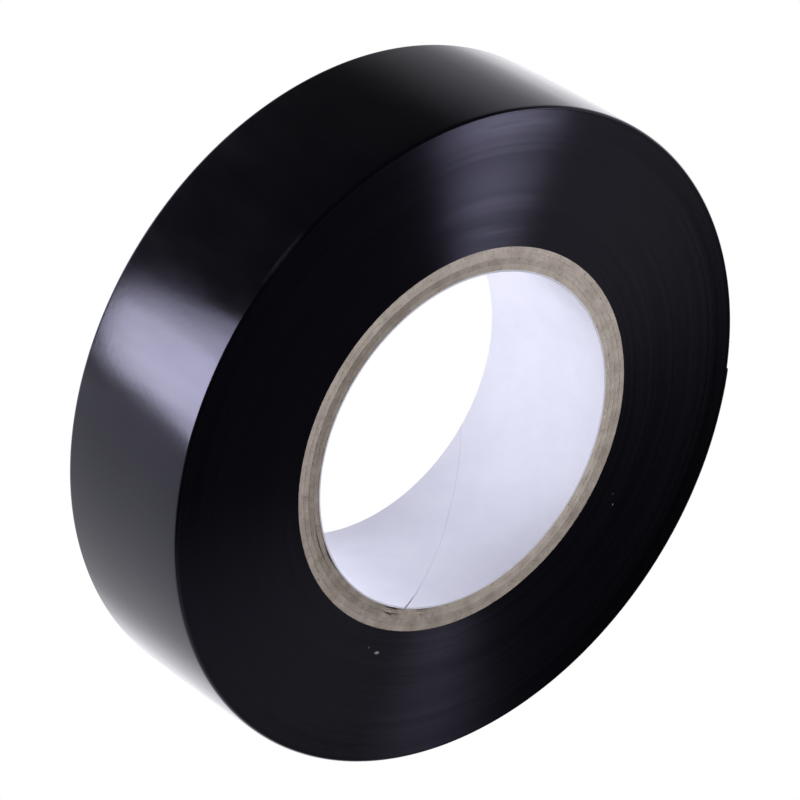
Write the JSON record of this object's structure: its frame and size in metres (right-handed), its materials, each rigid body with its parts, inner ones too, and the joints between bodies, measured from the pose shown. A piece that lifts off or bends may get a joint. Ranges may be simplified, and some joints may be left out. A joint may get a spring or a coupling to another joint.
{
  "type": "electrical tape roll",
  "caption": "Roll of black PVC insulating tape on a paper core, lying flat, with a free end that peels off.",
  "frame": {"origin": "on the roll's axis, at its lower side", "axes": "+Z is the roll's axis, upwards as it lies flat; the tape's free end is on the +Y side"},
  "size_m": [0.0751, 0.0753, 0.019],
  "materials": {
    "liner_paper": "matte",
    "core_board": "matte",
    "wound_pvc": "satin",
    "pvc_film": "gloss",
    "adhesive": "satin"
  },
  "bodies": {
    "roll": {"core_liner": "liner_paper", "core_ply_1": "core_board", "core_ply_2": "core_board", "core_ply_3": "core_board", "core_ply_4": "core_board", "tape_winding": "wound_pvc", "tape_last_turn_film": "pvc_film", "tape_last_turn_adhesive": "adhesive"},
    "end_1": {"tape_end_film_1": "pvc_film", "tape_end_adhesive_1": "adhesive"},
    "end_2": {"tape_end_film_2": "pvc_film", "tape_end_adhesive_2": "adhesive"},
    "end_3": {"tape_end_film_3": "pvc_film", "tape_end_adhesive_3": "adhesive"},
    "end_4": {"tape_end_film_4": "pvc_film", "tape_end_adhesive_4": "adhesive"},
    "end_5": {"tape_end_film_5": "pvc_film", "tape_end_adhesive_5": "adhesive"},
    "end_6": {"tape_end_film_6": "pvc_film", "tape_end_adhesive_6": "adhesive"}
  },
  "joints": [
    {"name": "peel", "type": "hinge", "parent": "roll", "child": "end_1", "pos_m": [0.02213, 0.03052, 0.0095], "axis": [0, 0, -1], "range_deg": [0, 45]},
    {"name": "bend_2", "type": "hinge", "parent": "end_1", "child": "end_2", "pos_m": [0.01531, 0.03446, 0.0095], "axis": [0, 0, -1], "range_deg": [0, 12]},
    {"name": "bend_3", "type": "hinge", "parent": "end_2", "child": "end_3", "pos_m": [0.00781, 0.03689, 0.0095], "axis": [0, 0, -1], "range_deg": [0, 12]},
    {"name": "bend_4", "type": "hinge", "parent": "end_3", "child": "end_4", "pos_m": [-0.00002, 0.03771, 0.0095], "axis": [0, 0, -1], "range_deg": [0, 12]},
    {"name": "bend_5", "type": "hinge", "parent": "end_4", "child": "end_5", "pos_m": [-0.00786, 0.03689, 0.0095], "axis": [0, 0, -1], "range_deg": [0, 12]},
    {"name": "bend_6", "type": "hinge", "parent": "end_5", "child": "end_6", "pos_m": [-0.01535, 0.03446, 0.0095], "axis": [0, 0, -1], "range_deg": [0, 12]}
  ],
  "couplings": [
    {"joint": "bend_2", "follows": "peel", "ratio": 0.26667},
    {"joint": "bend_3", "follows": "peel", "ratio": 0.26667},
    {"joint": "bend_4", "follows": "peel", "ratio": 0.26667},
    {"joint": "bend_5", "follows": "peel", "ratio": 0.26667},
    {"joint": "bend_6", "follows": "peel", "ratio": 0.26667}
  ]
}
